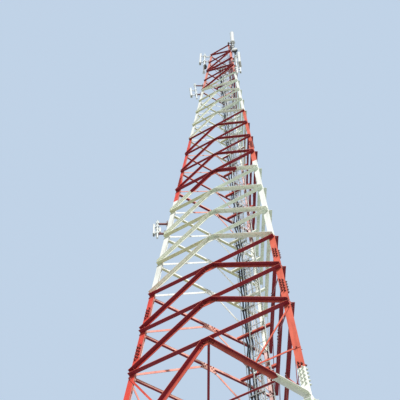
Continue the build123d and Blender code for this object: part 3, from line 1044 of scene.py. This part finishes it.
def peak_antenna():
    """Round cover with a domed head above a bolted collar, and clamp rings on its pipe."""
    pipe = PIPES["peak"]
    foot = HEIGHT - pipe.head + REST_GAP
    radius = PEAK_ACROSS / 2
    flange = radius + 0.008
    head = PEAK_LONG
    outline = [(0, 0), (flange, 0), (flange, 0.052), (radius + 0.002, 0.060),
               (radius + 0.002, 0.075), (radius - 0.004, 0.080), (radius - 0.006, head - 0.10),
               (radius, head - 0.095), (radius, head - 0.040), (radius * 0.86, head - 0.016),
               (radius * 0.5, head - 0.003), (0, head)]
    bm = bmesh.new()
    put(bm, turned_form(outline, 32), pipe_axis("peak") @ shift(0, 0, foot))
    finish(bm, "panel_peak_cover", "antenna_cover", ["panel_peak"], sharp=35)
    bm = bmesh.new()
    for turn in range(0, 360, 45):
        place = pipe_axis("peak", turn) @ shift(flange, 0, foot + 0.028) @ LYING
        put(bm, bolt_nut, place, 0.5)
    ring = turned_form([(0.040, -0.040), (0.066, -0.040), (0.066, 0.040), (0.040, 0.040),
                        (0.040, -0.040)], 16)
    for drop in pipe.arms:
        put(bm, ring, pipe_axis("peak") @ shift(0, 0, HEIGHT - drop))
    finish(bm, "peak_collar_steel", "dark_steel")


def dish_antennas():
    """Dark drums with a pale crowned radome and rim, on their pipe brackets."""
    brackets = bmesh.new()
    for name, dish in DISHES.items():
        radius = dish.across / 2
        deep = dish.deep
        low, high = -deep / 2, deep / 2
        back = PIPES[dish.pipe].across / 2 + dish.standoff
        ahead = dish.facing == 0
        place = pipe_axis(dish.pipe, dish.turn)
        place @= shift(back + (deep / 2 if ahead else radius), 0, HEIGHT - dish.drop)
        place @= turned(dish.facing, "Z") @ LYING @ shift(0, 0, dish.slide)
        drum = [(0, low), (0.045, low), (0.045, low + 0.012), (radius * 0.62, low + deep * 0.14),
                (radius * 0.88, low + deep * 0.28), (radius - 0.004, low + deep * 0.32),
                (radius - 0.004, high - deep * 0.30), (radius - 0.010, high - deep * 0.28),
                (0, high - deep * 0.28)]
        radome = [(0, high - deep * 0.30), (radius, high - deep * 0.30), (radius, high - 0.012),
                  (radius * 0.96, high - 0.008), (radius * 0.94, high - 0.010),
                  (radius * 0.6, high - 0.003), (0, high)]
        for part, outline, coat in (("shroud", drum, "dark_shroud"),
                                    ("radome", radome, "dish_shell")):
            bm = bmesh.new()
            put(bm, turned_form(outline, 40), place)
            finish(bm, f"dish_{name}_{part}", coat, [f"dish_{name}"], sharp=30)
        reach = back if ahead else back + STUB / 2
        stub_and_clamp(brackets, dish.pipe, dish.turn, HEIGHT - dish.drop, reach)
    finish(brackets, "dish_brackets", "galvanised_steel")


def radio_unit():
    """Cast case with upright cooling fins and connectors, on a stub from the peak pipe."""
    pipe = PIPES["peak"]
    back = pipe.across / 2 + RADIO_STANDOFF
    z = HEIGHT - pipe.head - RADIO_FALL
    deep, wide, tall = RADIO_SIZE
    place = pipe_axis("peak", RADIO_TURN) @ shift(back + deep / 2, 0, z)
    bm = bmesh.new()
    put(bm, block((deep * 0.55, wide, tall), 0.008, 3), place @ shift(-deep * 0.22, 0, 0))
    fin = block((deep * 0.46, 0.004, tall - 0.012), 0.001, 1)
    for k in range(RADIO_FINS):
        y = (k - (RADIO_FINS - 1) / 2) * wide / RADIO_FINS
        put(bm, fin, place @ shift(deep * 0.27, y, 0))
    socket = rod(0.022, 0.030, 10, 0.003)
    for y in (-0.03, 0, 0.03):
        put(bm, socket, place @ shift(-deep * 0.2, y, -tall / 2 - 0.012))
    stub_and_clamp(bm, "peak", RADIO_TURN, z, back)
    finish(bm, "radio_unit_case", "radio_case", ["radio_unit"])


def tube_antenna():
    """Short round cover with domed ends and a band, on a stub from its pipe."""
    pipe = PIPES[TUBE_PIPE]
    back = pipe.across / 2 + TUBE_STANDOFF
    middle = HEIGHT - pipe.arms[0] + TUBE_RISE + TUBE_LONG / 2
    radius, half = TUBE_ACROSS / 2, TUBE_LONG / 2
    outline = [(0, -half), (radius * 0.7, -half), (radius, -half + 0.008), (radius, -half + 0.05),
               (radius - 0.002, -half + 0.052), (radius - 0.002, half - 0.022),
               (radius * 0.75, half - 0.006), (0, half)]
    place = pipe_axis(TUBE_PIPE, TUBE_TURN) @ shift(back + radius, 0, middle)
    bm = bmesh.new()
    put(bm, turned_form(outline, 24), place)
    stub_and_clamp(bm, TUBE_PIPE, TUBE_TURN, middle, back + radius / 2)
    finish(bm, "tube_antenna_cover", "antenna_cover", ["tube_antenna"], sharp=30)


def antenna_pipes():
    """Round pipes, and the square arms with end plates that hold them off the legs."""
    for name, pipe in PIPES.items():
        piece_name = f"antenna_pipe_{name}"
        bm = bmesh.new()
        middle = HEIGHT - (pipe.foot + pipe.head) / 2
        tube = rod(pipe.across, pipe.foot - pipe.head, 24, 0.003)
        put(bm, tube, pipe_axis(name) @ shift(0, 0, middle))
        finish(bm, f"{piece_name}_tube", "ladder_steel", [piece_name], sharp=40)
        bm = bmesh.new()
        plate = block(ARM_PLATE, 0.012, 3)
        axis = leg_axis(pipe.leg)
        for drop in pipe.arms:
            z = HEIGHT - drop
            start = side(z - ARM_PLATE[0] / 2) / ROOT3 + REST_GAP
            end = side(HEIGHT - pipe.arms[0]) / ROOT3 + pipe.reach
            end += (pipe.arms[0] - drop) * math.tan(math.radians(pipe.lean)) - pipe.across / 2
            put(bm, plate, axis @ shift(start + ARM_PLATE[2] / 2, 0, z) @ LYING)
            arm = block((ARM, ARM, end - start), 0.007, 3)
            put(bm, arm, axis @ shift((start + end) / 2, 0, z) @ LYING)
        coat = ARM_COATS.get(name, "ladder_steel")
        finish(bm, f"{piece_name}_arms", coat, [piece_name])


def pipe_cap(bm, name, drop, turn):
    """Shallow domed cap over a pipe's end."""
    radius = PIPES[name].across / 2
    rim = [(0, -0.008), (radius + 0.003, -0.008), (radius + 0.003, 0.004), (radius * 0.7, 0.010),
           (0, 0.012)]
    put(bm, turned_form(rim, 16), pipe_axis(name) @ shift(0, 0, HEIGHT - drop) @ turn)


def pipe_clamp(bm, name, z):
    """Two jaws round a pipe where an arm holds it, drawn together by four ties."""
    across = PIPES[name].across
    radius = across / 2
    axis = pipe_axis(name)
    plate = block((0.090, across + 0.070, CLAMP_DEEP), 0.006)
    for x in (radius + 0.007, -radius - 0.007):
        put(bm, plate, axis @ shift(x, 0, z) @ LYING)
    tie = rod(0.014, across + 0.060, 8)
    for hand in (-1, 1):
        for rise in (-0.028, 0.028):
            place = axis @ shift(0, hand * (radius + 0.018), z + rise)
            put(bm, tie, place @ LYING)
            put(bm, bolt_nut, place @ shift(radius + 0.013, 0, 0) @ LYING, 0.55)


def pipe_fittings():
    """Caps on the antenna pipes, clamps at their arms and bolts of the arms' plates."""
    bm = bmesh.new()
    for name, pipe in PIPES.items():
        if name != "peak":
            pipe_cap(bm, name, pipe.head, Matrix())
        pipe_cap(bm, name, pipe.foot, UPSIDE_DOWN)
        for drop in pipe.arms:
            z = HEIGHT - drop
            pipe_clamp(bm, name, z)
            x = side(z - ARM_PLATE[0] / 2) / ROOT3 + ARM_PLATE[2]
            for hand in (-1, 1):
                for rise in (-0.035, 0.035):
                    place = leg_axis(pipe.leg) @ shift(x, hand * 0.062, z + rise)
                    put(bm, bolt_nut, place @ LYING, 0.8)
    finish(bm, "pipe_fittings", "ladder_steel")


# Surroundings

def build_camera():
    data = bpy.data.cameras.new("viewpoint")
    data.lens = LENS_MM
    data.sensor_width = SENSOR_MM
    data.clip_end = VIEW_END
    camera = add("viewpoint", data)
    turn = turned(CAMERA_HEADING, "Z") @ turned(90 + CAMERA_PITCH, "X") @ turned(CAMERA_ROLL, "Z")
    camera.matrix_world = shift(*CAMERA_PLACE) @ turn
    bpy.context.scene.camera = camera


def seen_directly(tree):
    """1 for rays from the camera, and for those through a mirror or glass."""
    path = node(tree, "LightPath").outputs
    mirrored = calc(tree, "MAXIMUM", path["Is Glossy Ray"], path["Is Transmission Ray"])
    return calc(tree, "MAXIMUM", path["Is Camera Ray"], mirrored)


def build_light():
    world = bpy.data.worlds.new("studio")
    bpy.context.scene.world = world
    world.use_nodes = True
    tree = world.node_tree
    sky = feed(tree, tree.nodes["Background"], {"Color": SKY_LIGHT, "Strength": SKY_STRENGTH})
    backdrop = feed(tree, node(tree, "Background"), {"Color": BACKDROP})
    mix = node(tree, "MixShader")
    feed(tree, mix, {0: seen_directly(tree), 1: sky.outputs[0], 2: backdrop.outputs[0]})
    tree.links.new(mix.outputs[0], tree.nodes["World Output"].inputs["Surface"])
    for name, (energy, tilt, heading) in SUNS.items():
        sun = bpy.data.lights.new(name, "SUN")
        sun.energy = energy
        sun.angle = SUN_SPREAD
        add(name, sun).rotation_euler = (math.radians(tilt), 0, math.radians(heading))


def build_floor():
    """Pale ground under the feet, outside the photograph."""
    bm = bmesh.new()
    bmesh.ops.create_circle(bm, cap_ends=True, segments=96, radius=FLOOR_RADIUS,
                            matrix=shift(0, AXIS_Y, 0))
    floor = add("floor", shape(bm, "floor"))
    material, tree, shader = new_material("floor", 0.9, specular=0.1)
    colour = blend(tree, seen_directly(tree), FLOOR_LIT, FLOOR_SEEN)
    feed(tree, shader, {"Base Color": colour})
    floor.data.materials.append(material)


weathering = build_weathering()
edge_wear = build_edge_wear()
fade_and_shade = build_fade_and_shade()
hollow_shade = build_hollow_shade()

# Each coat: what makes it, the slot of the record that it belongs to, and its looks
COATS = {
    "aviation_paint": (tower_paint, "tower_paint", REDS, WHITES),
    # Bolts: the tower's paint made darker, a painted shade
    "painted_bolts": (tower_paint, "tower_paint", BOLT_SHADED_REDS, BOLT_SHADED_WHITES),
    # Light and dark grey, roughness and how metallic it is
    "galvanised_steel": (zinc, "galvanised",
                         (0.60, 0.62, 0.62, 1), (0.36, 0.38, 0.39, 1), 0.45, 0.55),
    "ladder_steel": (zinc, "galvanised", (0.74, 0.76, 0.72, 1), (0.48, 0.50, 0.48, 1), 0.5, 0.3),
    "dark_steel": (zinc, "platform_steel", (0.16, 0.16, 0.15, 1), (0.06, 0.06, 0.06, 1), 0.5, 0.3),
    "grating_steel": (zinc, "platform_steel",
                      (0.24, 0.25, 0.23, 1), (0.10, 0.11, 0.10, 1), 0.6, 0.3),
    # Clean and dirty colour, roughness, strength of the streaks and of the grain
    "black_sheath": (coated, "black_sheath",
                     (0.018, 0.018, 0.020, 1), (0.09, 0.085, 0.075, 1), 0.5, 0.35, 0.15),
    "grey_sheath": (coated, "grey_sheath",
                    (0.78, 0.79, 0.77, 1), (0.48, 0.47, 0.43, 1), 0.5, 0.5, 0.15),
    "antenna_cover": (coated, "antenna_cover",
                      (0.80, 0.81, 0.78, 1), (0.52, 0.51, 0.44, 1), 0.38, 0.45, 0.08),
    "dish_shell": (coated, "dish_shell",
                   (0.76, 0.77, 0.75, 1), (0.50, 0.49, 0.43, 1), 0.42, 0.45, 0.08),
    "radio_case": (coated, "radio_case",
                   (0.16, 0.165, 0.17, 1), (0.07, 0.07, 0.065, 1), 0.5, 0.5, 0.3),
    "dark_shroud": (coated, "radio_case",
                    (0.030, 0.034, 0.040, 1), (0.09, 0.085, 0.075, 1), 0.45, 0.4, 0.1),
    # Arms: a dark copy of the red paint, a painted shade
    "arm_paint": (coated, "tower_paint",
                  (0.20, 0.045, 0.035, 1), (0.10, 0.04, 0.03, 1), 0.5, 0.5, 0.2),
    "hanger_plastic": (coated, "radio_case",
                       (0.05, 0.05, 0.05, 1), (0.12, 0.115, 0.10, 1), 0.5, 0.4, 0.1),
}
coats = {name: (make(name, *looks), slot) for name, (make, slot, *looks) in COATS.items()}
ARM_COATS = {"left_upper": "arm_paint", "left_middle": "arm_paint", "peak": "dark_steel"}

# Coats of the solids, by the record's slots
SOLID_COATS = {"tower_paint": "aviation_paint", "foot_steel": "aviation_paint",
               "galvanised": "galvanised_steel", "platform_steel": "grating_steel"}
for part in frame["record"]["subparts"]:
    slot = part["material_slot"]
    for held in frame["nodes"][part["node"]].material_slots:
        held.material = coats[SOLID_COATS.get(slot, slot)][0]

bolt_head = bolt_end(BOLT_HEAD, 0)
bolt_nut = bolt_end(BOLT_NUT, BOLT_THREAD)
for face in FACES:
    lattice_bolts(face)
leg_joint_bolts()
corner_bar_bolts()
climbing_ladder()
cable_ladder()
hangers = steps(CABLE_FOOT, CABLE_HEAD, TRAY_PITCH)
chance = random.Random(5)
sways = bundle_sways(chance)
feeder_cables("feeder_cables_black", BLACK_X, BLACK_CABLE, sways, "black_sheath", chance)
feeder_cables("feeder_cables_grey", GREY_X, GREY_CABLE, sways, "grey_sheath", chance)
cable_hangers()
rest_platforms()
panel_antennas()
peak_antenna()
dish_antennas()
radio_unit()
tube_antenna()
antenna_pipes()
pipe_fittings()
anchor_bolts()
build_floor()
build_camera()
build_light()
bpy.context.scene.view_settings.view_transform = "Standard"
